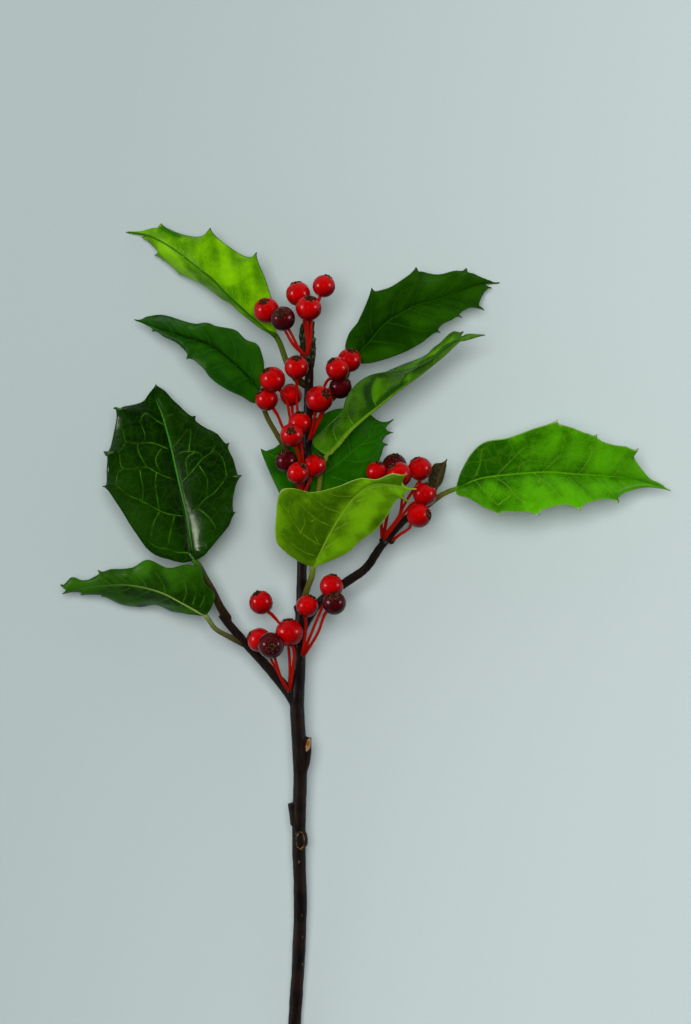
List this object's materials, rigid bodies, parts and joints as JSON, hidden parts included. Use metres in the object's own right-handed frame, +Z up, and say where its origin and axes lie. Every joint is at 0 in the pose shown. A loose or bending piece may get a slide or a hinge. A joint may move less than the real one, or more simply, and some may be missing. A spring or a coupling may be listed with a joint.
{
  "type": "holly sprig",
  "caption": "Cut sprig of holly with spiny leaves and bunches of red berries on a forked dark stem, lying on a flat surface.",
  "frame": {"origin": "on the surface that the sprig lies on, in the small flat under the stem near its cut end", "axes": "+Y along the main stem towards its tip, +Z up from the surface, +X to the right seen from above"},
  "size_m": [0.2053, 0.309, 0.0503],
  "materials": {
    "bark": "dark smooth bark, satin, with pale lenticels and scars",
    "leaf_dark": "thick dark green holly leaf, glossy, paler veins",
    "leaf_mid": "mid green holly leaf, satin gloss, paler veins",
    "leaf_light": "young yellow-green holly leaf, satin, dark veins",
    "dry_leaf": "dry dark brown bract, matt",
    "berry_skin": "ripe red berry skin, waxy gloss",
    "berry_dark": "overripe maroon berry skin, waxy gloss",
    "crown": "dry brown remains of the flower, matt",
    "pedicel": "thin red berry stalk, satin",
    "leaf_stalk": "olive brown leaf stalk, satin"
  },
  "bodies": {
    "root": {"stem": "bark", "leaf_upper_left": "leaf_light", "leaf_left": "leaf_dark", "leaf_left_front": "leaf_dark", "leaf_lower_left": "leaf_mid", "leaf_upper_right": "leaf_dark", "leaf_curled": "leaf_mid", "leaf_behind": "leaf_dark", "leaf_front": "leaf_light", "leaf_right": "leaf_mid", "dry_bract": "dry_leaf", "berries_top": "berry_skin", "berries_left": "berry_skin", "berries_right": "berry_skin", "berries_middle": "berry_skin", "berries_twig": "berry_skin", "berry_twig_low": "berry_skin", "berries_fork": "berry_skin", "berries_stem": "berry_skin"}
  },
  "joints": []
}
